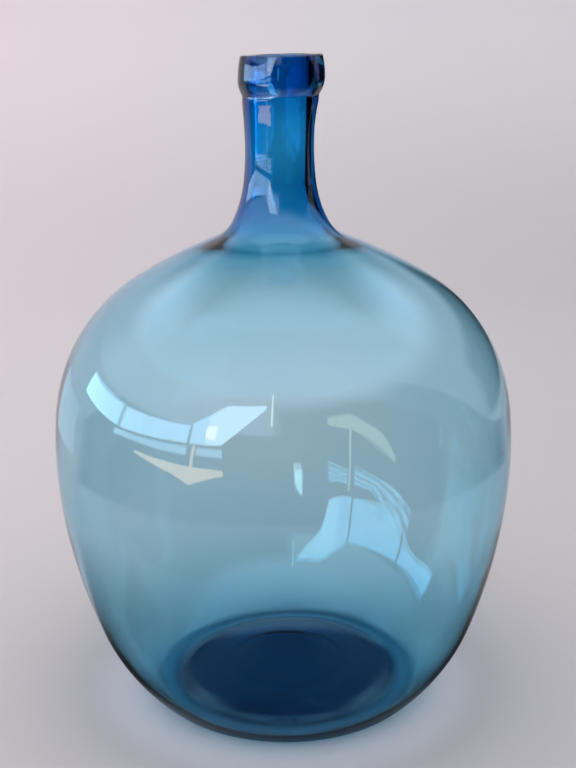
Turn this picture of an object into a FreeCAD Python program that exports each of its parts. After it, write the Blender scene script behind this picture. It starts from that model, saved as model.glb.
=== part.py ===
"""Glass carboy: a hand-blown wine demijohn with a lip ring laid on round the end of its neck.

Frame: millimetres, +Z up along the axis of revolution, origin at the middle of the plane
that the foot stands on.  Both pieces are turned profiles in the XZ plane.
"""
import FreeCAD, Part
import math
import os

import Sketcher

# Driving dimensions, in millimetres and degrees.  An arc has a radius and a turn, which is
# the angle that the wall's direction changes along it.
SIZES = {
    # overall
    "overall_height": 560,
    # foot
    "foot_inner_radius": 97,
    "kickup_height": 9,
    # outside of the body, from the foot up
    "heel_radius": 20,
    "heel_turn": 44,
    "lower_flank_radius": 182,
    "lower_flank_turn": 26,
    "flank_radius": 488,
    "flank_turn": 13,
    "belly_arc_radius": 375,
    "belly_turn": 13,
    "shoulder_radius": 146,
    "shoulder_turn": 52,
    "slope_radius": 414,
    "slope_turn": 11,
    # outside of the neck
    "cove_radius": 32,
    "cove_turn": 42,
    "flare_radius": 96,
    "flare_turn": 20,
    "waist_arc_radius": 236,
    "waist_turn": 16,
    "seat_radius": 31.5,
    # inside
    "body_wall": 2.5,
    "mouth_radius": 21,
    "mouth_round": 3,
    "mouth_depth": 48,
    "step_depth": 4,
    "neck_inner_radius": 22,
    "neck_inner_bottom": 485,
    "inner_flare_radius": 128.5,
    "inner_flare_turn": 27,
    "inner_cove_radius": 38,
    "inner_lower_flank_turn": 10,
    "inner_heel_radius": 60,
    "inner_heel_turn": 67,
    # lip ring
    "lip_lower_radius": 39,
    "lip_lower_turn": 26,
    "lip_upper_radius": 72,
    "lip_upper_turn": 12,
    "lip_edge_radius": 2,
}

LEFT = 1
RIGHT = -1
START = 1
END = 2
CENTRE = 3
ORIGIN = (-1, 1)
X_AXIS = -1
Z_AXIS = -2
# Headings in a profile, in degrees from the direction away from the axis.
OUTWARD = 0.0
UP = 90.0
INWARD = 180.0
DOWN = -90.0
QUARTER_TURN = 90.0
FULL_TURN = 360.0


def make_sheet(doc):
    """Put the driving dimensions in a spreadsheet, one alias to a row."""
    sheet = doc.addObject("Spreadsheet::Sheet", "sizes")
    for row, (name, value) in enumerate(SIZES.items(), start=1):
        sheet.set("A%d" % row, name)
        sheet.set("B%d" % row, str(value))
        sheet.setAlias("B%d" % row, name)
    doc.recompute()
    return sheet


def make_body(doc, name):
    """An empty body whose label names the piece."""
    body = doc.addObject("PartDesign::Body", name)
    body.Label = name
    doc.recompute()
    return body


def make_sketch(body, name):
    """A sketch on the body's XZ plane: sketch x is the radius and sketch y the height."""
    plane = next(item for item in body.Origin.OriginFeatures if item.Role == "XZ_Plane")
    sketch = body.newObject("Sketcher::SketchObject", name)
    sketch.AttachmentSupport = [(plane, "")]
    sketch.MapMode = "FlatFace"
    return sketch


class Profile:
    """A chain of tangent arcs and lines in one sketch, drawn from a pen position and heading.

    The pen's numbers place the geometry; the constraints, bound to the sheet, hold it.
    """

    def __init__(self, sketch, radius, height, heading):
        self.sketch = sketch
        self.radius = radius
        self.height = height
        self.heading = math.radians(heading)
        self.last = None
        self.first = None

    def move(self, radius, height):
        self.radius = radius
        self.height = height

    def bind(self, constraint, name, expression):
        """Add a dimension and bind it to the sheet."""
        index = self.sketch.addConstraint(constraint)
        self.sketch.renameConstraint(index, name)
        self.sketch.setExpression("Constraints." + name, expression)

    def join(self, start, end, tangent):
        """Join the new element's start to the last one's end."""
        if self.last is not None:
            kind = "Tangent" if tangent else "Coincident"
            self.sketch.addConstraint(Sketcher.Constraint(kind, *self.last, *start))
        else:
            self.first = start
        self.last = end

    def line_to(self, radius, height, tangent=False):
        """A straight stretch to a point; returns the line's index."""
        here = FreeCAD.Vector(self.radius, self.height, 0)
        there = FreeCAD.Vector(radius, height, 0)
        line = self.sketch.addGeometry(Part.LineSegment(here, there), False)
        self.join((line, START), (line, END), tangent)
        self.move(radius, height)
        return line

    def arc(self, radius, turn, side, tangent=True):
        """An arc that turns to one side of the heading; returns the arc's index."""
        normal = FreeCAD.Vector(-math.sin(self.heading), math.cos(self.heading), 0) * side
        centre = FreeCAD.Vector(self.radius, self.height, 0) + normal * radius
        begin = self.heading - side * math.pi / 2
        finish = begin + side * math.radians(turn)
        circle = Part.Circle(centre, FreeCAD.Vector(0, 0, 1), radius)
        low, high = (begin, finish) if side == LEFT else (finish, begin)
        curve = self.sketch.addGeometry(Part.ArcOfCircle(circle, low, high), False)
        start, end = (START, END) if side == LEFT else (END, START)
        self.join((curve, start), (curve, end), tangent)
        self.heading += side * math.radians(turn)
        self.move(centre.x + radius * math.cos(finish), centre.y + radius * math.sin(finish))
        return curve

    def sized_arc(self, name, radius, radius_formula, turn, turn_formula, side, tangent=True):
        """An arc whose radius and turn are both bound to the sheet."""
        curve = self.arc(radius, turn, side, tangent)
        size = Sketcher.Constraint("Radius", curve, radius)
        self.bind(size, name + "_radius", radius_formula)
        sweep = Sketcher.Constraint("Angle", curve, math.radians(turn))
        self.bind(sweep, name + "_turn", turn_formula)
        return curve

    def close(self):
        """Join the last end to the first start."""
        self.sketch.addConstraint(Sketcher.Constraint("Coincident", *self.last, *self.first))


def chain_reach(arcs, heading):
    """How far a chain of (radius, turn, side) arcs goes, as a change of radius and height."""
    across = 0.0
    up = 0.0
    angle = math.radians(heading)
    for radius, turn, side in arcs:
        after = angle + side * math.radians(turn)
        across += side * radius * (math.sin(after) - math.sin(angle))
        up += side * radius * (math.cos(angle) - math.cos(after))
        angle = after
    return across, up


OUTSIDE_ARCS = (
    ("heel", "heel_radius", "heel_turn", LEFT),
    ("lower_flank", "lower_flank_radius", "lower_flank_turn", LEFT),
    ("flank", "flank_radius", "flank_turn", LEFT),
    ("belly", "belly_arc_radius", "belly_turn", LEFT),
    ("shoulder", "shoulder_radius", "shoulder_turn", LEFT),
    ("slope", "slope_radius", "slope_turn", LEFT),
    ("cove", "cove_radius", "cove_turn", RIGHT),
    ("flare", "flare_radius", "flare_turn", RIGHT),
    ("waist", "waist_arc_radius", "waist_turn", RIGHT),
)


def draw_outside(sketch):
    """Outside of the vessel: kick-up, flat foot ring, body, neck and the seat of the lip ring."""
    arcs = [(SIZES[radius], SIZES[turn], side) for _, radius, turn, side in OUTSIDE_ARCS]
    foot_outer = SIZES["seat_radius"] - chain_reach(arcs, OUTWARD)[0]
    foot_inner = SIZES["foot_inner_radius"]
    kickup = SIZES["kickup_height"]
    top = SIZES["overall_height"]

    # The kick-up is a shallow dome whose centre is on the axis.
    half_turn = math.degrees(math.atan2(kickup, foot_inner))
    dome_radius = foot_inner / math.sin(math.radians(2 * half_turn))
    profile = Profile(sketch, 0.0, kickup, OUTWARD)
    dome = profile.arc(dome_radius, 2 * half_turn, RIGHT)
    sketch.addConstraint(Sketcher.Constraint("PointOnObject", *profile.first, Z_AXIS))
    sketch.addConstraint(Sketcher.Constraint("PointOnObject", dome, CENTRE, Z_AXIS))
    height = Sketcher.Constraint("DistanceY", *ORIGIN, *profile.first, kickup)
    profile.bind(height, "kickup", "sizes.kickup_height")

    ring = profile.line_to(foot_outer, 0.0)
    sketch.addConstraint(Sketcher.Constraint("PointOnObject", ring, START, X_AXIS))
    sketch.addConstraint(Sketcher.Constraint("Horizontal", ring))
    reach = Sketcher.Constraint("DistanceX", *ORIGIN, ring, START, foot_inner)
    profile.bind(reach, "foot_inner", "sizes.foot_inner_radius")

    profile.heading = math.radians(OUTWARD)
    for name, radius, turn, side in OUTSIDE_ARCS:
        profile.sized_arc(name, SIZES[radius], "sizes." + radius, SIZES[turn],
                          "sizes.%s * 1 deg" % turn, side)

    seat = profile.line_to(SIZES["seat_radius"], top)
    sketch.addConstraint(Sketcher.Constraint("Vertical", seat))
    reach = Sketcher.Constraint("DistanceX", *ORIGIN, seat, END, SIZES["seat_radius"])
    profile.bind(reach, "seat", "sizes.seat_radius")
    height = Sketcher.Constraint("DistanceY", *ORIGIN, seat, END, top)
    profile.bind(height, "top", "sizes.overall_height")

    rim = profile.line_to(0.0, top)
    sketch.addConstraint(Sketcher.Constraint("Horizontal", rim))
    sketch.addConstraint(Sketcher.Constraint("PointOnObject", rim, END, Z_AXIS))
    profile.line_to(0.0, kickup)
    profile.close()


CAVITY_ARCS = (
    ("inner_flare", "inner_flare_radius", "", "inner_flare_turn", LEFT),
    ("inner_cove", "inner_cove_radius", "", "cove_turn", LEFT),
    ("inner_slope", "slope_radius", " - sizes.body_wall", "slope_turn", RIGHT),
    ("inner_shoulder", "shoulder_radius", " - sizes.body_wall", "shoulder_turn", RIGHT),
    ("inner_belly", "belly_arc_radius", " - sizes.body_wall", "belly_turn", RIGHT),
    ("inner_flank", "flank_radius", " - sizes.body_wall", "flank_turn", RIGHT),
    ("inner_lower_flank", "lower_flank_radius", " - sizes.body_wall",
     "inner_lower_flank_turn", RIGHT),
    ("inner_heel", "inner_heel_radius", "", "inner_heel_turn", RIGHT),
)


def draw_cavity(sketch):
    """Inside of the vessel, from the mouth down to the floor over the kick-up."""
    top = SIZES["overall_height"]
    mouth = SIZES["mouth_radius"]
    mouth_round = SIZES["mouth_round"]
    mouth_bottom = top - SIZES["mouth_depth"]
    neck = SIZES["neck_inner_radius"]
    step_bottom = mouth_bottom - SIZES["step_depth"]
    neck_bottom = SIZES["neck_inner_bottom"]

    profile = Profile(sketch, 0.0, top, OUTWARD)
    cover = profile.line_to(mouth + mouth_round, top)
    sketch.addConstraint(Sketcher.Constraint("Horizontal", cover))
    sketch.addConstraint(Sketcher.Constraint("PointOnObject", cover, START, Z_AXIS))
    height = Sketcher.Constraint("DistanceY", *ORIGIN, cover, START, top)
    profile.bind(height, "top", "sizes.overall_height")

    profile.heading = math.radians(INWARD)
    edge = profile.arc(mouth_round, QUARTER_TURN, LEFT)
    size = Sketcher.Constraint("Radius", edge, mouth_round)
    profile.bind(size, "mouth_round", "sizes.mouth_round")

    bore = profile.line_to(mouth, mouth_bottom, tangent=True)
    sketch.addConstraint(Sketcher.Constraint("Vertical", bore))
    reach = Sketcher.Constraint("DistanceX", *ORIGIN, bore, END, mouth)
    profile.bind(reach, "mouth", "sizes.mouth_radius")
    height = Sketcher.Constraint("DistanceY", *ORIGIN, bore, END, mouth_bottom)
    profile.bind(height, "mouth_bottom", "sizes.overall_height - sizes.mouth_depth")

    step = profile.line_to(neck, step_bottom)
    drop = Sketcher.Constraint("DistanceY", step, END, step, START, SIZES["step_depth"])
    profile.bind(drop, "step", "sizes.step_depth")

    tube = profile.line_to(neck, neck_bottom)
    sketch.addConstraint(Sketcher.Constraint("Vertical", tube))
    reach = Sketcher.Constraint("DistanceX", *ORIGIN, tube, END, neck)
    profile.bind(reach, "neck_inner", "sizes.neck_inner_radius")
    height = Sketcher.Constraint("DistanceY", *ORIGIN, tube, END, neck_bottom)
    profile.bind(height, "neck_bottom", "sizes.neck_inner_bottom")

    profile.heading = math.radians(DOWN)
    for name, radius, less, turn, side in CAVITY_ARCS:
        value = SIZES[radius] - (SIZES["body_wall"] if less else 0.0)
        profile.sized_arc(name, value, "sizes." + radius + less, SIZES[turn],
                          "sizes.%s * 1 deg" % turn, side)

    # The floor is a shallow dome over the kick-up, centred on the axis.
    rise = -(profile.heading + math.pi)
    dome_radius = profile.radius / math.sin(rise)
    dome = profile.arc(dome_radius, math.degrees(rise), LEFT)
    sketch.addConstraint(Sketcher.Constraint("PointOnObject", dome, CENTRE, Z_AXIS))
    sketch.addConstraint(Sketcher.Constraint("PointOnObject", *profile.last, Z_AXIS))
    profile.line_to(0.0, top)
    profile.close()


def draw_lip_ring(sketch):
    """The lip ring's section: seated on the neck's end, bulging outside and level on top."""
    seat = SIZES["seat_radius"]
    top = SIZES["overall_height"]
    lower_turn = SIZES["lip_lower_turn"]
    upper_turn = SIZES["lip_upper_turn"]
    edge_turn = QUARTER_TURN - upper_turn
    arcs = (
        (SIZES["lip_lower_radius"], lower_turn, LEFT),
        (SIZES["lip_upper_radius"], upper_turn, LEFT),
        (SIZES["lip_edge_radius"], edge_turn, LEFT),
    )
    start_heading = UP - lower_turn
    bottom = top - chain_reach(arcs, start_heading)[1]

    profile = Profile(sketch, seat, top, DOWN)
    inner = profile.line_to(seat, bottom)
    sketch.addConstraint(Sketcher.Constraint("Vertical", inner))
    reach = Sketcher.Constraint("DistanceX", *ORIGIN, inner, START, seat)
    profile.bind(reach, "seat", "sizes.seat_radius")
    height = Sketcher.Constraint("DistanceY", *ORIGIN, inner, START, top)
    profile.bind(height, "top", "sizes.overall_height")

    profile.heading = math.radians(start_heading)
    lower = profile.sized_arc("lower", SIZES["lip_lower_radius"], "sizes.lip_lower_radius",
                              lower_turn, "sizes.lip_lower_turn * 1 deg", LEFT, tangent=False)
    sketch.addConstraint(Sketcher.Constraint("Horizontal", lower, CENTRE, lower, END))
    profile.sized_arc("upper", SIZES["lip_upper_radius"], "sizes.lip_upper_radius",
                      upper_turn, "sizes.lip_upper_turn * 1 deg", LEFT)
    edge = profile.arc(SIZES["lip_edge_radius"], edge_turn, LEFT)
    size = Sketcher.Constraint("Radius", edge, SIZES["lip_edge_radius"])
    profile.bind(size, "edge_radius", "sizes.lip_edge_radius")

    level = profile.line_to(seat, top, tangent=True)
    sketch.addConstraint(Sketcher.Constraint("Horizontal", level))
    profile.close()


def turn(doc, body, sketch, kind, name):
    """A revolution or groove of the sketch about its own vertical axis."""
    feature = body.newObject(kind, name)
    feature.Profile = sketch
    feature.ReferenceAxis = (sketch, ["V_Axis"])
    feature.Angle = FULL_TURN
    body.Tip = feature
    doc.recompute()
    return feature


def make_vessel(doc):
    """Body, neck and foot, blown as one piece of glass."""
    body = make_body(doc, "vessel")
    outside = make_sketch(body, "outside_profile")
    draw_outside(outside)
    solid = turn(doc, body, outside, "PartDesign::Revolution", "blown_outside")
    cavity = make_sketch(body, "cavity_profile")
    draw_cavity(cavity)
    hollow = turn(doc, body, cavity, "PartDesign::Groove", "blown_inside")
    if not hollow.Shape.Volume < solid.Shape.Volume:
        raise RuntimeError("the cavity cut nothing")
    return body


def make_lip_collar(doc):
    """The ring of glass laid on round the end of the neck and tooled into the lip."""
    body = make_body(doc, "lip_collar")
    section = make_sketch(body, "lip_section")
    draw_lip_ring(section)
    turn(doc, body, section, "PartDesign::Revolution", "tooled_lip")
    return body


def check_document(doc):
    """Stop if any object failed, or if a sketch isn't fully constrained."""
    for item in doc.Objects:
        if "Invalid" in item.State or "Error" in item.State:
            raise RuntimeError("%s is %s" % (item.Name, item.State))
        if item.isDerivedFrom("Sketcher::SketchObject") and item.solve() != 0:
            raise RuntimeError("%s does not solve" % item.Name)


def main():
    doc = FreeCAD.newDocument("carboy")
    make_sheet(doc)
    pieces = [make_vessel(doc), make_lip_collar(doc)]
    doc.recompute()
    check_document(doc)
    for piece in pieces:
        if piece.Shape.isNull() or not piece.Shape.isValid():
            raise RuntimeError("%s has no valid shape" % piece.Label)
    os.makedirs("parts", exist_ok=True)
    for piece in pieces:
        piece.Shape.exportStep("parts/%s.step" % piece.Label)
        box = piece.Shape.optimalBoundingBox()
        print("%s: %.1f ml, radius %.1f, height %.1f to %.1f" % (
            piece.Label, piece.Shape.Volume / 1000, box.XMax, box.ZMin, box.ZMax))


main()
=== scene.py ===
"""Looks of the glass carboy: thin blown glass with a thick lip, neck and foot, in a pale studio.

Metres, +Z up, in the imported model's frame.
"""
import math

import bpy
from mathutils import Matrix, Vector, noise


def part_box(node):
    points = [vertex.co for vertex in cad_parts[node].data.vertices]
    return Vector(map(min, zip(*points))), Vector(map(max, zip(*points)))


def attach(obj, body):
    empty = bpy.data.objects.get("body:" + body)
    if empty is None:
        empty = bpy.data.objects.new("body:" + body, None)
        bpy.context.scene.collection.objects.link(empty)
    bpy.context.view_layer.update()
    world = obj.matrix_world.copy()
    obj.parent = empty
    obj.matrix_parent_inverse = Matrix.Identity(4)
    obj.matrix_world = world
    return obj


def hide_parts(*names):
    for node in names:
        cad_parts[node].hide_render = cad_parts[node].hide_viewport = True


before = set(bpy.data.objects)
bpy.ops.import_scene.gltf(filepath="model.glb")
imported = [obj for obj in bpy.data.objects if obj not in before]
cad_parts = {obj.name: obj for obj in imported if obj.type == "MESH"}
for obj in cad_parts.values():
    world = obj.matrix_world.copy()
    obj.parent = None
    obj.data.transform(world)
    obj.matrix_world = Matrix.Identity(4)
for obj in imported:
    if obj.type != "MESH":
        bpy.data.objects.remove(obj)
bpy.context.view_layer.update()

MM = 0.001
VESSEL_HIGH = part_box("vessel")[1]
TOP = VESSEL_HIGH.z
BELLY_RADIUS = VESSEL_HIGH.x

LEFT = 1
RIGHT = -1
LEAST_ARC_STEPS = 6
SHARP_EDGE = 50
ON_AXIS = 1e-6


# ---------------------------------------------------------------- turned shapes

class Outline:
    """A half section drawn as tangent arcs and straight runs, as (radius, height) points."""

    def __init__(self, radius, height, heading, step):
        self.points = [(radius, height)]
        self.heading = math.radians(heading)
        self.headings = [self.heading]
        self.step = step

    def arc(self, radius, turn, side):
        """Turn by an angle in degrees to one side, along an arc."""
        start_radius, start_height = self.points[-1]
        centre_radius = start_radius - side * radius * math.sin(self.heading)
        centre_height = start_height + side * radius * math.cos(self.heading)
        sweep = math.radians(turn)
        count = max(LEAST_ARC_STEPS, math.ceil(radius * sweep / self.step))
        for index in range(1, count + 1):
            heading = self.heading + side * sweep * index / count
            self.points.append((centre_radius + side * radius * math.sin(heading),
                                centre_height - side * radius * math.cos(heading)))
            self.headings.append(heading)
        self.heading += side * sweep

    def line(self, radius, height):
        """A straight run to a point."""
        start_radius, start_height = self.points[-1]
        length = math.hypot(radius - start_radius, height - start_height)
        count = max(1, math.ceil(length / self.step))
        for index in range(1, count + 1):
            share = index / count
            self.points.append((start_radius + (radius - start_radius) * share,
                                start_height + (height - start_height) * share))
            self.headings.append(self.heading)


def reach(arcs, heading):
    """How far a chain of (radius, turn, side) arcs goes, as a change of radius and height."""
    pen = Outline(0.0, 0.0, heading, 1.0)
    for arc in arcs:
        pen.arc(*arc)
    return pen.points[-1]


def lathe(name, outline, segments, displace):
    """A closed surface turned round Z.  displace(radius, height, angle, index) moves a point."""
    mesh = bpy.data.meshes.new(name)
    vertices = []
    faces = []
    rings = []
    for index, (radius, height) in enumerate(outline):
        if radius < ON_AXIS:
            rings.append([len(vertices)])
            vertices.append(displace(0.0, height, 0.0, index))
            continue
        ring = []
        for segment in range(segments):
            angle = 2 * math.pi * segment / segments
            ring.append(len(vertices))
            vertices.append(displace(radius, height, angle, index))
        rings.append(ring)
    closed = outline[0][0] > ON_AXIS
    pairs = list(zip(rings, rings[1:]))
    if closed:
        pairs.append((rings[-1], rings[0]))
    for low, high in pairs:
        for segment in range(segments):
            after = (segment + 1) % segments
            if len(low) == 1:
                faces.append((low[0], high[after], high[segment]))
            elif len(high) == 1:
                faces.append((low[segment], low[after], high[0]))
            else:
                faces.append((low[segment], low[after], high[after], high[segment]))
    mesh.from_pydata(vertices, [], faces)
    mesh.polygons.foreach_set("use_smooth", [True] * len(mesh.polygons))
    mesh.set_sharp_from_angle(angle=math.radians(SHARP_EDGE))
    mesh.update()
    piece = bpy.data.objects.new(name, mesh)
    bpy.context.scene.collection.objects.link(piece)
    return piece


# ---------------------------------------------------------------- the glass

WALL = 1.25 * MM
FOOT_THICKENING = 1.8 * MM
FOOT_REACH = 55 * MM
NECK_REACH = 50 * MM
OUTSIDE_STEP = 4.0 * MM
LIP_STEP = 1.0 * MM
SEGMENTS = 240

FOOT_INNER_RADIUS = 93 * MM
KICKUP_HEIGHT = 8 * MM
SEAT_RADIUS = 31.5 * MM
RIM_EDGE = 0.4 * MM
MOUTH_RADIUS = 21 * MM
MOUTH_ROUND = 3 * MM
MOUTH_DEPTH = 33 * MM
NECK_INNER_RADIUS = 20.8 * MM

HEEL_ARCS = (
    (170.7 * MM, 6, LEFT),
    (17 * MM, 38, LEFT),
)
BODY_ARCS = (
    (182 * MM, 26, LEFT),
    (488 * MM, 13, LEFT),
    (375 * MM, 13, LEFT),
    (146 * MM, 52, LEFT),
    (414 * MM, 11, LEFT),
    (32 * MM, 42, RIGHT),
    (96 * MM, 20, RIGHT),
)
NECK_ARC = (236 * MM, 16, RIGHT)
INNER_FLOOR_ARCS = (
    (10 * MM, 44, RIGHT),
    (300 * MM, 1.5, RIGHT),
    (26 * MM, 24, RIGHT),
    (40 * MM, 17, LEFT),
)
# Hand-blown unevenness: amounts in metres, turns in radians, scales in waves a radius.
OVAL = 0.5 * MM
OVAL_TURN = 0.6
LOBES = 0.3 * MM
LOBES_TURN = 1.0
WAVE_HEIGHT = 60 * MM
RIPPLE = 0.25 * MM
RIPPLE_SCALE = 2.2
FINE_RIPPLE = 0.03 * MM
FINE_HEIGHT = 2.4
FINE_SCALE = 3.2 * RIPPLE_SCALE
FINE_SEED = 11.0
INSIDE_SEED = 40.0
TRUE_FOOT_HEIGHT = 30 * MM
MOULD_RING_RADIUS = 51 * MM
MOULD_RING_WIDTH = 5 * MM
MOULD_RING_HEIGHT = 0.6 * MM
RIM_TILT = 0.018
TILT_START = 70 * MM
TILT_REACH = 50 * MM
# How far the glass stands off the axis along X, as (height, shift) pairs.
SWAY = (
    (0.0 * MM, 1.5 * MM),
    (200 * MM, 0.0),
    (380 * MM, 0.0),
    (440 * MM, -1.2 * MM),
    (500 * MM, -1.2 * MM),
    (550 * MM, 1.0 * MM),
)


# The lip ring stands a hair off the neck, so that two closed bodies of glass don't touch.
LIP_GAP = 0.04 * MM
LIP_INNER_ROUND = 0.3 * MM
LIP_ARCS = (
    (5 * MM, 30, RIGHT),
    (24.2 * MM, 30, LEFT),
    (90 * MM, 11, LEFT),
    (1.9 * MM, 79, LEFT),
)
LIP_TRUE_DEPTH = 1 * MM
LIP_TOOLED_DEPTH = 3 * MM
LIP_OVAL = 0.3 * MM
LIP_OVAL_TURN = 0.5
LIP_RIPPLE = 0.35 * MM
LIP_RIPPLE_SCALE = 1.5
LIP_SEED = 7.0

# The colour that the glass keeps, and how strongly it absorbs the rest.
BODY_TINT = (0.04, 0.722, 0.888, 1.0)
BODY_DENSITY = 280.0
LIP_TINT = (0.04, 0.71, 0.89, 1.0)
LIP_DENSITY = 450.0
WHITE = (1.0, 1.0, 1.0, 1.0)
GLASS_IOR = 1.5


def inner_wall(points, headings):
    """The inside of the body: thin at the belly, thicker down to the foot and up to the neck."""
    lengths = [0.0]
    for (radius, height), (after_radius, after_height) in zip(points, points[1:]):
        lengths.append(lengths[-1] + math.hypot(after_radius - radius, after_height - height))
    neck_thickening = points[-1][0] - NECK_INNER_RADIUS - WALL
    inside = []
    for (radius, height), heading, length in zip(points, headings, lengths):
        to_neck = (lengths[-1] - length) / NECK_REACH
        wall = WALL + FOOT_THICKENING * math.exp(-length / FOOT_REACH)
        wall += neck_thickening / (1 + to_neck ** 3)
        inside.append((radius - wall * math.sin(heading), height + wall * math.cos(heading)))
    return inside


def vessel_outline():
    """From the middle of the kick-up, round the outside, over the rim and down to the floor."""
    outside = HEEL_ARCS + BODY_ARCS + (NECK_ARC,)
    foot_radius = SEAT_RADIUS - reach(outside, 0)[0]
    half_turn = math.degrees(math.atan2(KICKUP_HEIGHT, FOOT_INNER_RADIUS))
    dome_radius = FOOT_INNER_RADIUS / math.sin(math.radians(2 * half_turn))

    pen = Outline(0.0, KICKUP_HEIGHT, 0, OUTSIDE_STEP)
    pen.arc(dome_radius, 2 * half_turn, RIGHT)
    pen.line(foot_radius, 0.0)
    pen.heading = 0.0
    for arc in HEEL_ARCS:
        pen.arc(*arc)
    body_start = len(pen.points) - 1
    for arc in BODY_ARCS:
        pen.arc(*arc)
    body_end = len(pen.points)
    inside = inner_wall(pen.points[body_start:body_end], pen.headings[body_start:body_end])
    pen.arc(*NECK_ARC)
    pen.line(SEAT_RADIUS, TOP - RIM_EDGE)
    pen.heading = math.radians(90)
    pen.arc(RIM_EDGE, 90, LEFT)
    pen.line(MOUTH_RADIUS + MOUTH_ROUND, TOP)
    pen.arc(MOUTH_ROUND, 90, LEFT)
    outside_count = len(pen.points)

    pen.line(MOUTH_RADIUS, TOP - MOUTH_DEPTH)
    pen.points.extend(reversed(inside))
    pen.heading = math.radians(sum(turn * side for _, turn, side in HEEL_ARCS)) - math.pi
    for arc in INNER_FLOOR_ARCS:
        pen.arc(*arc)
    rise = -(pen.heading + math.pi)
    pen.arc(pen.points[-1][0] / math.sin(rise), math.degrees(rise), LEFT)
    pen.points[-1] = (0.0, pen.points[-1][1])
    return pen.points, outside_count


def eased(share):
    """A share held between 0 and 1, with its change eased at both ends."""
    share = min(1.0, max(0.0, share))
    return share * share * (3 - 2 * share)


def wave(angle, height, scale, seed):
    """Smooth noise round the vessel, from -1 to 1, repeating once round."""
    place = Vector((math.cos(angle) * scale, math.sin(angle) * scale, height / WAVE_HEIGHT + seed))
    return noise.noise(place)


def blown(radius, height, angle, seed):
    """How far a hand-blown surface stands off the true round, in metres."""
    oval = OVAL * math.cos(2 * (angle - OVAL_TURN)) + LOBES * math.cos(3 * angle + LOBES_TURN)
    ripple = RIPPLE * wave(angle, height, RIPPLE_SCALE, seed)
    fine = FINE_RIPPLE * wave(angle, FINE_HEIGHT * height, FINE_SCALE, seed + FINE_SEED)
    return min(1.0, radius / BELLY_RADIUS) * (oval + ripple + fine)


def sway(height):
    """How far the hand-worked glass stands off the axis along X at a height."""
    for (low, low_shift), (high, high_shift) in zip(SWAY, SWAY[1:]):
        if height < high:
            return low_shift + (high_shift - low_shift) * eased((height - low) / (high - low))
    return SWAY[-1][1]


def tilted(across, height):
    """The height of a point near the rim, which was worked a little lower on one side."""
    return height + RIM_TILT * across * eased((height - TOP + TILT_START) / TILT_REACH)


def make_vessel():
    """The body, neck and foot, uneven above a true foot ring, with a mould ring under the foot."""
    outline, outside_count = vessel_outline()

    def displace(radius, height, angle, index):
        seed = 0.0 if index < outside_count else INSIDE_SEED
        away = radius + blown(radius, height, angle, seed) * min(1.0, height / TRUE_FOOT_HEIGHT)
        if index < outside_count and height < KICKUP_HEIGHT + MOULD_RING_HEIGHT:
            off_ring = (radius - MOULD_RING_RADIUS) / MOULD_RING_WIDTH
            height += MOULD_RING_HEIGHT * math.exp(-off_ring ** 2)
        across = away * math.cos(angle)
        return (across + sway(height), away * math.sin(angle), tilted(across, height))

    return lathe("vessel_glass", outline, SEGMENTS, displace)


def lip_outline():
    """Section of the lip ring: blended into the neck below, full at the middle, easing in above."""
    seat = SEAT_RADIUS + LIP_GAP
    rise = reach(LIP_ARCS, 90)[1]
    pen = Outline(seat, TOP - rise, 90, LIP_STEP)
    for arc in LIP_ARCS:
        pen.arc(*arc)
    pen.line(seat + LIP_INNER_ROUND, TOP)
    pen.arc(LIP_INNER_ROUND, 90, LEFT)
    pen.line(seat, TOP - rise)
    return pen.points[:-1]


def make_lip():
    """The lip ring, its outside tooled by hand and so uneven."""
    tooled = SEAT_RADIUS + LIP_TRUE_DEPTH

    def displace(radius, height, angle, index):
        uneven = LIP_OVAL * math.cos(2 * angle + LIP_OVAL_TURN)
        uneven += LIP_RIPPLE * wave(angle, height, LIP_RIPPLE_SCALE, LIP_SEED)
        away = radius + uneven * min(1.0, max(0.0, radius - tooled) / LIP_TOOLED_DEPTH)
        across = away * math.cos(angle)
        return (across + sway(height), away * math.sin(angle), tilted(radius * math.cos(angle), height))

    return lathe("lip_glass", lip_outline(), SEGMENTS, displace)


def glass_material(name, tint, density):
    """Clear petrol-blue glass: the colour is in the volume, so thick glass is darker."""
    material = bpy.data.materials.new(name)
    material.use_nodes = True
    nodes = material.node_tree.nodes
    links = material.node_tree.links
    surface = nodes["Principled BSDF"]
    surface.inputs["Base Color"].default_value = WHITE
    surface.inputs["Transmission Weight"].default_value = 1.0
    surface.inputs["IOR"].default_value = GLASS_IOR
    surface.inputs["Roughness"].default_value = 0.0
    volume = nodes.new("ShaderNodeVolumeAbsorption")
    volume.inputs["Color"].default_value = tint
    volume.inputs["Density"].default_value = density
    links.new(volume.outputs["Volume"], nodes["Material Output"].inputs["Volume"])
    return material


# ---------------------------------------------------------------- the studio
#
# The bottle stands on a pale sweep in a room whose daylight comes from windows on the left.
# A path that has been reflected sees the room as painted reflections: the sweep is lit only in
# places, and the windows and their frames show.  Any other path sees the sweep with its painted
# light and shade: lighter up on the left, a pale patch round the front of the foot, a blue-grey
# shade behind the bottle, a grey disc under the kick-up and a faint glow under the foot's rim.
#
# A range gives where a smooth change starts and ends, in metres or degrees, and then the
# values there if they aren't 0 and 1.

SWEEP_FLOOR_RADIUS = 1.7
SWEEP_CURVE_RADIUS = 0.7
SWEEP_TOP = 2.3
SWEEP_STEP = 0.08
SWEEP_SEGMENTS = 128
FLOOR_GAP = 0.05 * MM

# Painted light: the sweep is painted lighter and warmer up on the left and greyer down on the right, as
# from windows on the left, and lighter higher up and further out.
LOW_LEFT_TONE = (0.59, 0.56, 0.57, 1.0)
LOW_RIGHT_TONE = (0.452, 0.45, 0.466, 1.0)
HIGH_LEFT_TONE = (0.835, 0.77, 0.805, 1.0)
HIGH_RIGHT_TONE = (0.69, 0.70, 0.72, 1.0)
# Painted light: a pale patch round the front of the foot, lightening the bottle's shadow there.
FOOT_LIGHT_TONE = (0.83, 0.82, 0.85, 1.0)
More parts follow.
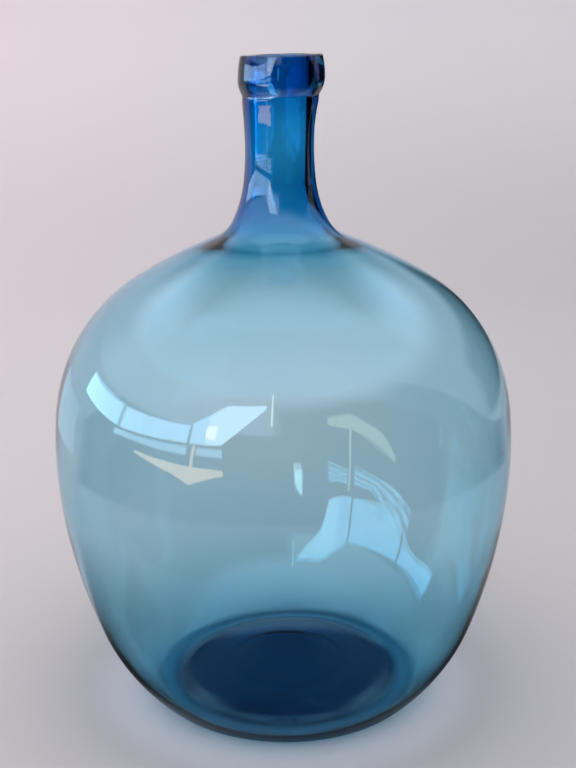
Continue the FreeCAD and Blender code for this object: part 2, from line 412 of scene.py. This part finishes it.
# Painted shadow: a blue-grey shade on the floor behind the bottle.
SHADE_TONE = (0.42, 0.48, 0.52, 1.0)
# Painted shade: a grey disc on the floor under the kick-up.
KICKUP_SHADE_TONE = (0.42, 0.42, 0.42, 1.0)
PAINT_ROUGHNESS = 0.9

# Where the painted light and shade fall on the sweep.
LEFT_TO_RIGHT = (-1.0, 1.0)
TONE_RISE = (0.0, 0.7, 0.0, 0.84)
TONE_SPREAD = (0.5, 1.7, 0.0, 0.16)
FOOT_LIGHT_SPREAD = (0.125, 0.19, 1.0, 0.0)
FOOT_LIGHT_FRONT = (0.16, 0.0)
SHADE_START = (0.02, 0.14)
SHADE_END = (0.25, 0.50, 1.0, 0.0)
SHADE_WIDTH = (0.08, 0.24, 0.75, 0.0)
KICKUP_SHADE_SPREAD = (0.090, 0.112, 1.0, 0.0)

ROOM_LIGHT = (0.80, 1.0, 1.25, 1.0)
ROOM_DARKNESS = 0.02
LIT_LEAN = 0.885
LIT_START = (0.75, 0.9)
HIGH_BACK_RISE = (0.5, 0.8)
HIGH_BACK_TURN = (16, 36, 1.0, 0.0)
HIGH_BACK_FRONT_WALL = (1.2, 1.7, 0.0, 0.7)
RIGHT_BACK_RISE = (0.03, 0.10)
RIGHT_BACK_TOP = (0.8, 1.2, 1.0, 0.0)
RIGHT_BACK_START = (13, 20)
RIGHT_BACK_END = (60, 72, 1.0, 0.0)
LEFT_WALL_RISE = (0.95, 1.1)
LEFT_WALL_SIDE = (0.1, -0.3)
TABLE_EDGE = (0.74, 0.80, 0.8, 0.0)
TABLE_SPREAD = (0.28, 0.50, 0.12, 1.0)
TABLE_FOOT = (0.12, 0.16, 0.6, 0.12)
TABLE_BACK = (0.0, 0.15, 0.12, 0.7)
BEHIND_TOP = (0.12, 0.25, 0.9, 0.0)
BEHIND_START = (-80, -66)
BEHIND_END = (45, 62, 1.0, 0.0)
HIGH_WALL_RISE = (1.5, SWEEP_TOP)
HIGH_WALL_GLOW = 0.9
LEFT_WALL_GLOW = (0.4, 1.8, 0.7, 0.0)
CAUGHT_START = (0.090, 0.112, 0.0, 0.08)
CAUGHT_END = (0.110, 0.119, 1.0, 0.0)

# Depths of a path between the counts that a test tells apart: none or one reflection, and
# two or three crossings of a glass surface.
REFLECTED_DEPTH = 0.5
THROUGH_DEPTH = 2.5
# Where a colour mix node has its factor and two colours, and its result.
MIX_INPUTS = (0, 6, 7)
MIX_RESULT = 2


def math_node(tree, operation, *inputs):
    """A Math node with each input a number or another node's output."""
    node = tree.nodes.new("ShaderNodeMath")
    node.operation = operation
    for socket, value in zip(node.inputs, inputs):
        if isinstance(value, (int, float)):
            socket.default_value = value
        else:
            tree.links.new(value, socket)
    return node.outputs["Value"]


def product(tree, first, *others):
    """All the values multiplied."""
    for other in others:
        first = math_node(tree, "MULTIPLY", first, other)
    return first


def largest(tree, first, *others):
    """The largest of the values."""
    for other in others:
        first = math_node(tree, "MAXIMUM", first, other)
    return first


def opposite(tree, value):
    """1 less the value."""
    return math_node(tree, "SUBTRACT", 1.0, value)


def ramp_node(tree, value, start, end, low=0.0, high=1.0):
    """A smooth change from low to high as the value goes from start to end."""
    if start > end:
        start, end, low, high = end, start, high, low
    node = tree.nodes.new("ShaderNodeMapRange")
    node.interpolation_type = "SMOOTHSTEP"
    node.inputs["From Min"].default_value = start
    node.inputs["From Max"].default_value = end
    node.inputs["To Min"].default_value = low
    node.inputs["To Max"].default_value = high
    tree.links.new(value, node.inputs["Value"])
    return node.outputs["Result"]


def turn_node(tree, azimuth, start, end, low=0.0, high=1.0):
    """A smooth change from low to high as an azimuth goes from start to end in degrees."""
    return ramp_node(tree, azimuth, math.radians(start), math.radians(end), low, high)


def mix_colour(tree, factor, first, second, blend="MIX"):
    """A colour mix with each input a colour or another node's output."""
    node = tree.nodes.new("ShaderNodeMix")
    node.data_type = "RGBA"
    node.blend_type = blend
    for index, value in zip(MIX_INPUTS, (factor, first, second)):
        if isinstance(value, (int, float, tuple)):
            node.inputs[index].default_value = value
        else:
            tree.links.new(value, node.inputs[index])
    return node.outputs[MIX_RESULT]


def reflected(tree):
    """1 on a path that has been reflected at least once, otherwise 0."""
    path = tree.nodes.new("ShaderNodeLightPath")
    return math_node(tree, "GREATER_THAN", path.outputs["Glossy Depth"], REFLECTED_DEPTH)


def through_bottle(tree):
    """1 on a path that has crossed the bottle's front wall, otherwise 0."""
    path = tree.nodes.new("ShaderNodeLightPath")
    return math_node(tree, "GREATER_THAN", path.outputs["Transmission Depth"], THROUGH_DEPTH)


class Place:
    """Where the shaded point is, round the bottle's axis; azimuth goes from +Y to +X."""

    def __init__(self, tree):
        geometry = tree.nodes.new("ShaderNodeNewGeometry")
        split = tree.nodes.new("ShaderNodeSeparateXYZ")
        tree.links.new(geometry.outputs["Position"], split.inputs["Vector"])
        self.across, self.along, self.height = split.outputs
        squares = [math_node(tree, "MULTIPLY", side, side) for side in (self.across, self.along)]
        self.distance = math_node(tree, "SQRT", math_node(tree, "ADD", *squares))
        self.azimuth = math_node(tree, "ARCTAN2", self.across, self.along)


def sweep_tone(tree, place):
    """Painted light and shade: warmer and lighter up on the left, greyer down on the right, a pale
    patch of painted light round the front of the foot, the bottle's soft shade painted behind it, and a
    grey disc of painted shade under the kick-up.
    """
    to_right = ramp_node(tree, place.across, *LEFT_TO_RIGHT)
    low_tone = mix_colour(tree, to_right, LOW_LEFT_TONE, LOW_RIGHT_TONE)
    high_tone = mix_colour(tree, to_right, HIGH_LEFT_TONE, HIGH_RIGHT_TONE)
    raised = math_node(tree, "ADD", ramp_node(tree, place.height, *TONE_RISE),
                       ramp_node(tree, place.distance, *TONE_SPREAD))
    tone = mix_colour(tree, raised, low_tone, high_tone)
    # Painted light round the front of the foot.
    foot_light = product(tree, ramp_node(tree, place.distance, *FOOT_LIGHT_SPREAD),
                         ramp_node(tree, place.along, *FOOT_LIGHT_FRONT))
    tone = mix_colour(tree, foot_light, tone, FOOT_LIGHT_TONE)
    # Painted shadow behind the bottle.
    aside = math_node(tree, "ABSOLUTE", place.across)
    shade = product(tree, ramp_node(tree, place.along, *SHADE_START),
                    ramp_node(tree, place.along, *SHADE_END), ramp_node(tree, aside, *SHADE_WIDTH))
    tone = mix_colour(tree, shade, tone, SHADE_TONE)
    # Painted shade: a grey disc under the kick-up.
    return mix_colour(tree, ramp_node(tree, place.distance, *KICKUP_SHADE_SPREAD), tone, KICKUP_SHADE_TONE)


def high_back(tree, place):
    """The dark part of the wall behind the bottle: full through the bottle, partial otherwise."""
    turned = math_node(tree, "ABSOLUTE", place.azimuth)
    to_wall = largest(tree, through_bottle(tree), ramp_node(tree, place.height, *HIGH_BACK_FRONT_WALL))
    return product(tree, ramp_node(tree, place.height, *HIGH_BACK_RISE),
                   turn_node(tree, turned, *HIGH_BACK_TURN), to_wall)


def right_back(tree, place):
    """The dark stretch of wall behind the bottle on the right."""
    return product(tree, ramp_node(tree, place.height, *RIGHT_BACK_RISE),
                   ramp_node(tree, place.height, *RIGHT_BACK_TOP),
                   turn_node(tree, place.azimuth, *RIGHT_BACK_START),
                   turn_node(tree, place.azimuth, *RIGHT_BACK_END))


def left_wall(tree, place):
    """The bright wall over the windows on the left."""
    return product(tree, ramp_node(tree, place.height, *LEFT_WALL_RISE),
                   ramp_node(tree, place.across, *LEFT_WALL_SIDE))


def table(tree, place):
    """The table round the bottle, dim close to the foot and in front of it."""
    spread = largest(tree, ramp_node(tree, place.distance, *TABLE_SPREAD),
                     ramp_node(tree, place.distance, *TABLE_FOOT),
                     ramp_node(tree, place.along, *TABLE_BACK))
    return product(tree, ramp_node(tree, place.distance, *TABLE_EDGE), spread)


def behind(tree, place):
    """The low stretch of floor behind the bottle."""
    return product(tree, ramp_node(tree, place.height, *BEHIND_TOP),
                   turn_node(tree, place.azimuth, *BEHIND_START),
                   turn_node(tree, place.azimuth, *BEHIND_END))


def room_share(tree, place):
    """How much of the sweep's paint a reflection sees."""
    leaning = math_node(tree, "MULTIPLY_ADD", place.height, LIT_LEAN, place.along)
    lit = largest(tree, ramp_node(tree, leaning, *LIT_START), left_wall(tree, place),
                  table(tree, place), behind(tree, place),
                  ramp_node(tree, place.height, *HIGH_WALL_RISE))
    dark = largest(tree, high_back(tree, place), right_back(tree, place))
    return largest(tree, ROOM_DARKNESS, product(tree, lit, opposite(tree, dark)))


def room_glow(tree, place):
    """Light that a reflection sees on the room's walls, up to the ceiling's brightness."""
    high_wall = product(tree, ramp_node(tree, place.height, *HIGH_WALL_RISE), HIGH_WALL_GLOW)
    high_left = product(tree, left_wall(tree, place), ramp_node(tree, place.along, *LEFT_WALL_GLOW))
    return product(tree, largest(tree, high_wall, high_left), reflected(tree),
                   opposite(tree, high_back(tree, place)))


def caught_light(tree, place):
    """A faint glow on the floor under the foot's rim, fitted to the photographed tone."""
    return product(tree, ramp_node(tree, place.distance, *CAUGHT_START),
                   ramp_node(tree, place.distance, *CAUGHT_END))


def sweep_paint():
    """Matt pale paint with painted light and shade and a faint painted glow under the foot's rim; for
    reflections only, the room's light and dark parts as painted reflections.
    """
    material = bpy.data.materials.new("sweep_paint")
    material.use_nodes = True
    tree = material.node_tree
    surface = tree.nodes["Principled BSDF"]
    place = Place(tree)
    shown = largest(tree, room_share(tree, place), opposite(tree, reflected(tree)))
    paint = mix_colour(tree, 1.0, sweep_tone(tree, place), shown, "MULTIPLY")
    tree.links.new(paint, surface.inputs["Base Color"])
    light = math_node(tree, "ADD", room_glow(tree, place), caught_light(tree, place))
    tree.links.new(light, surface.inputs["Emission Strength"])
    surface.inputs["Emission Color"].default_value = ROOM_LIGHT
    surface.inputs["Roughness"].default_value = PAINT_ROUGHNESS
    surface.inputs["Specular IOR Level"].default_value = 0.0
    return material


def make_sweep():
    """A round studio sweep: a flat floor that curves up into a wall all the way round."""
    pen = Outline(0.0, -FLOOR_GAP, 0, SWEEP_STEP)
    pen.line(SWEEP_FLOOR_RADIUS, -FLOOR_GAP)
    pen.arc(SWEEP_CURVE_RADIUS, 90, LEFT)
    pen.line(SWEEP_FLOOR_RADIUS + SWEEP_CURVE_RADIUS, SWEEP_TOP)
    vertices = []
    faces = []
    for radius, height in pen.points[1:]:
        for segment in range(SWEEP_SEGMENTS):
            angle = 2 * math.pi * segment / SWEEP_SEGMENTS
            vertices.append((radius * math.cos(angle), radius * math.sin(angle), height))
    faces.append(tuple(range(SWEEP_SEGMENTS)))
    for ring in range(len(pen.points) - 2):
        for segment in range(SWEEP_SEGMENTS):
            low = ring * SWEEP_SEGMENTS + segment
            low_after = ring * SWEEP_SEGMENTS + (segment + 1) % SWEEP_SEGMENTS
            faces.append((low, low + SWEEP_SEGMENTS, low_after + SWEEP_SEGMENTS, low_after))
    mesh = bpy.data.meshes.new("studio_sweep")
    mesh.from_pydata(vertices, [], faces)
    mesh.polygons.foreach_set("use_smooth", [True] * len(mesh.polygons))
    mesh.materials.append(sweep_paint())
    sweep = bpy.data.objects.new("studio_sweep", mesh)
    bpy.context.scene.collection.objects.link(sweep)


WORLD_TONE = (1.0, 0.985, 1.0, 1.0)
WORLD_STRENGTH = 1.6

# The ceiling goes dark behind the bottle, within a width of it.
CEILING_STRENGTH = 1.8
CEILING_GAP = 0.03
CEILING_BACK = (0.2, 1.1, 1.0, 0.0)
CEILING_SIDE = (0.5, 1.5)
# Slats repeat by height, as (start, end, low, high) of a sine.
SLAT_SHAPE = (-0.8, 0.2, 0.3, 1.0)

# The cards hang this far off, and below the eye's height near enough to stay over the floor.
ROOM_RADIUS = 2.2
ROOM_NEAR_RADIUS = 1.6
ROOM_EYE = 0.3
ROOM_DROP = 0.29
# The cards for the bottle's back wall hang a little nearer, so that no two cards coincide.
WALL_NEARNESS = {"front": 1.0, "back": 0.97}
# They also hang lower, by this many degrees up to an elevation, easing to nothing over a span.
BACK_DROP = 4.6
BACK_DROP_UP_TO = 7.0
BACK_DROP_SPAN = 20.0

# Lights, as colour, strength and slats in radians a metre.
SKY = ((0.52, 0.76, 1.0, 1.0), 6.0, 0.0)
BRIGHT_SKY = ((0.70, 0.86, 1.0, 1.0), 7.0, 0.0)
CURTAIN = ((0.85, 0.88, 1.0, 1.0), 1.0, 0.0)
HAZE = ((0.60, 0.80, 1.0, 1.0), 5.0, 170.0)
SUN = ((1.0, 0.90, 0.80, 1.0), 6.0, 0.0)
SUN_GLOW = ((1.0, 0.90, 0.82, 1.0), 9.0, 0.0)
SUNLIT_FLOOR = ((1.0, 0.62, 0.36, 1.0), 4.8, 0.0)

BOTH_WALLS = ("front", "back")
# Panes, as name, first and last azimuth, spans, lower and upper elevations at the first and
# last azimuth, light, walls that reflect it, and how much nearer it hangs.
PANES = (
    ("bright_wall", (-40, -67), 3, (-17, -17), (-3, -1), CURTAIN, BOTH_WALLS, 0.0),
    ("window_far", (-66, -96.7), 4, (5, 4), (13, 14.5), SKY, BOTH_WALLS, 0.0),
    ("window_middle", (-98.3, -136.3), 5, (4, 7.5), (14.5, 17.5), SKY, BOTH_WALLS, 0.0),
    ("window_tall", (-137.5, -145), 2, (7.5, 8), (19, 26), SKY, BOTH_WALLS, 0.0),
    ("window_near", (-145, -152), 2, (8, 9), (26, 33), BRIGHT_SKY, BOTH_WALLS, 0.0),
    ("sun_glow", (-144.5, -149.5), 2, (12.5, 11.5), (18.5, 20.5), SUN_GLOW, ("front",), 0.01),
    ("window_slope", (-152, -172), 3, (9, 33), (33, 35), BRIGHT_SKY, BOTH_WALLS, 0.0),
    ("window_low_far", (-95, -136.5), 4, (0.2, 1.0), (2.7, 5.6), HAZE, BOTH_WALLS, 0.0),
    ("window_low_near", (-141, -153), 2, (2, 2), (6, 6.8), HAZE, BOTH_WALLS, 0.0),
    ("floor_patch", (-110, -139), 3, (-4.5, -12), (-3.5, -5), SUNLIT_FLOOR, BOTH_WALLS, 0.0),
    ("floor_patch_near", (-139, -154), 2, (-12, -8), (-5, -5), SUNLIT_FLOOR, BOTH_WALLS, 0.0),
    ("post", (-139, -140.5), 1, (-5, -5), (7, 7), SUNLIT_FLOOR, BOTH_WALLS, 0.0),
    ("door_glint", (-169.5, -174.5), 1, (5.0, 5.0), (9.5, 8.5), SUN_GLOW, ("back",), 0.0),
    ("door_top", (-174.5, -175.5), 1, (22, 22), (45, 45), SUN, BOTH_WALLS, 0.0),
)


def make_world():
    """Even light from above the sweep."""
    world = bpy.data.worlds.new("studio_light")
    bpy.context.scene.world = world
    world.use_nodes = True
    back = world.node_tree.nodes["Background"]
    back.inputs["Color"].default_value = WORLD_TONE
    back.inputs["Strength"].default_value = WORLD_STRENGTH


def glow(name, colour, strength, share):
    """Light that shows only in reflections.  share(tree) says where and how much it shows."""
    material = bpy.data.materials.new(name)
    material.use_nodes = True
    tree = material.node_tree
    tree.nodes.remove(tree.nodes["Principled BSDF"])
    clear = tree.nodes.new("ShaderNodeBsdfTransparent")
    light = tree.nodes.new("ShaderNodeEmission")
    light.inputs["Color"].default_value = colour
    visible, brightness = share(tree)
    light.inputs["Strength"].default_value = strength
    if brightness is not None:
        tree.links.new(product(tree, brightness, strength), light.inputs["Strength"])
    choice = tree.nodes.new("ShaderNodeMixShader")
    tree.links.new(visible, choice.inputs["Fac"])
    tree.links.new(clear.outputs[0], choice.inputs[1])
    tree.links.new(light.outputs[0], choice.inputs[2])
    tree.links.new(choice.outputs[0], tree.nodes["Material Output"].inputs["Surface"])
    return material


def ceiling_share(tree):
    """The ceiling shows in every reflection, dark behind the bottle."""
    place = Place(tree)
    aside = math_node(tree, "ABSOLUTE", place.across)
    away = largest(tree, ramp_node(tree, place.along, *CEILING_BACK),
                   ramp_node(tree, aside, *CEILING_SIDE))
    return reflected(tree), away


def pane_share(wall, slats):
    """A pane shows in one wall's reflections, with slats if it has them."""
    def share(tree):
        inside = through_bottle(tree)
        seen = inside if wall == "back" else opposite(tree, inside)
        stripes = None
        if slats:
            wave_height = math_node(tree, "MULTIPLY", Place(tree).height, slats)
            stripes = ramp_node(tree, math_node(tree, "SINE", wave_height), *SLAT_SHAPE)
        return product(tree, reflected(tree), seen), stripes
    return share


def room_point(azimuth, elevation, nearness):
    """A point of the room's wall, seen from the middle of the bottle; azimuth from +Y to +X."""
    turn = math.radians(azimuth)
    rise = math.tan(math.radians(elevation))
    away = nearness * (ROOM_RADIUS if rise >= 0 else min(ROOM_NEAR_RADIUS, -ROOM_DROP / rise))
    return (away * math.sin(turn), away * math.cos(turn), ROOM_EYE + away * rise)


def hang(name, vertices, faces, material):
    """A card that only a reflection can show."""
    mesh = bpy.data.meshes.new(name)
    mesh.from_pydata(vertices, [], faces)
    mesh.materials.append(material)
    card = bpy.data.objects.new(name, mesh)
    bpy.context.scene.collection.objects.link(card)
    card.visible_camera = False
    card.visible_shadow = False
    card.visible_diffuse = False


def make_ceiling():
    """The room's ceiling, over the whole sweep."""
    reach_out = SWEEP_FLOOR_RADIUS + SWEEP_CURVE_RADIUS
    corners = [(side * reach_out, end * reach_out, SWEEP_TOP - CEILING_GAP)
               for side, end in ((-1, -1), (1, -1), (1, 1), (-1, 1))]
    # A glowing card: a painted reflection of the lit ceiling.
    ceiling_light = glow("ceiling_glow", ROOM_LIGHT, CEILING_STRENGTH, ceiling_share)
    hang("ceiling", corners, [(0, 1, 2, 3)], ceiling_light)


def back_drop(elevation):
    """How much lower a card for the bottle's back wall hangs, in degrees, fitted to the photograph."""
    share = min(1.0, max(0.0, (elevation - BACK_DROP_UP_TO) / BACK_DROP_SPAN))
    return BACK_DROP * (1 - share) ** 2


def between(ends, share):
    """The value at a share of the way between two ends."""
    return ends[0] + (ends[1] - ends[0]) * share


def make_pane(name, azimuths, spans, lowers, uppers, light, walls, closer):
    """A pane on the room's wall.  Each wall of the bottle that reflects it has its own card."""
    colour, strength, slats = light
    for wall in walls:
        vertices = []
        for index in range(spans + 1):
            share = index / spans
            for elevation in (between(lowers, share), between(uppers, share)):
                if wall == "back":
                    elevation -= back_drop(elevation)
                nearness = WALL_NEARNESS[wall] - closer
                vertices.append(room_point(between(azimuths, share), elevation, nearness))
        faces = [(corner, corner + 2, corner + 3, corner + 1) for corner in range(0, 2 * spans, 2)]
        material = glow(name + "_light_" + wall, colour, strength, pane_share(wall, slats))
        hang(name + "_" + wall, vertices, faces, material)


def make_windows():
    """A long low window on the left, a tall one behind, both with frames, and a sunlit floor."""
    make_ceiling()
    for pane in PANES:
        make_pane(*pane)


CAMERA_PLACE = (0.0, -1.0192, 0.5813)
CAMERA_LENS = 57.0
CAMERA_FILM = 36.0
CAMERA_DOWN = 16.37
CAMERA_YAW = -0.24
CAMERA_ROLL = -0.46


def make_camera():
    """A long-ish lens a little over the rim's height, looking down at the body."""
    data = bpy.data.cameras.new("camera")
    data.sensor_fit = "VERTICAL"
    data.sensor_height = CAMERA_FILM
    data.sensor_width = CAMERA_FILM
    data.lens = CAMERA_LENS
    camera = bpy.data.objects.new("camera", data)
    bpy.context.scene.collection.objects.link(camera)
    camera.location = CAMERA_PLACE
    camera.rotation_mode = "QUATERNION"
    turn = (Matrix.Rotation(math.radians(CAMERA_YAW), 4, "Z")
            @ Matrix.Rotation(math.radians(90 - CAMERA_DOWN), 4, "X")
            @ Matrix.Rotation(math.radians(CAMERA_ROLL), 4, "Z"))
    camera.rotation_quaternion = turn.to_quaternion()
    bpy.context.scene.camera = camera


def main():
    """The bottle's two glass pieces, and the room round them."""
    bpy.context.scene.view_settings.view_transform = "Standard"
    vessel = make_vessel()
    vessel.data.materials.append(glass_material("blown_glass", BODY_TINT, BODY_DENSITY))
    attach(vessel, "root")
    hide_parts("vessel")
    lip = make_lip()
    lip.data.materials.append(glass_material("lip_glass", LIP_TINT, LIP_DENSITY))
    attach(lip, "root")
    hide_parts("lip_collar")
    make_sweep()
    make_world()
    make_windows()
    make_camera()


main()
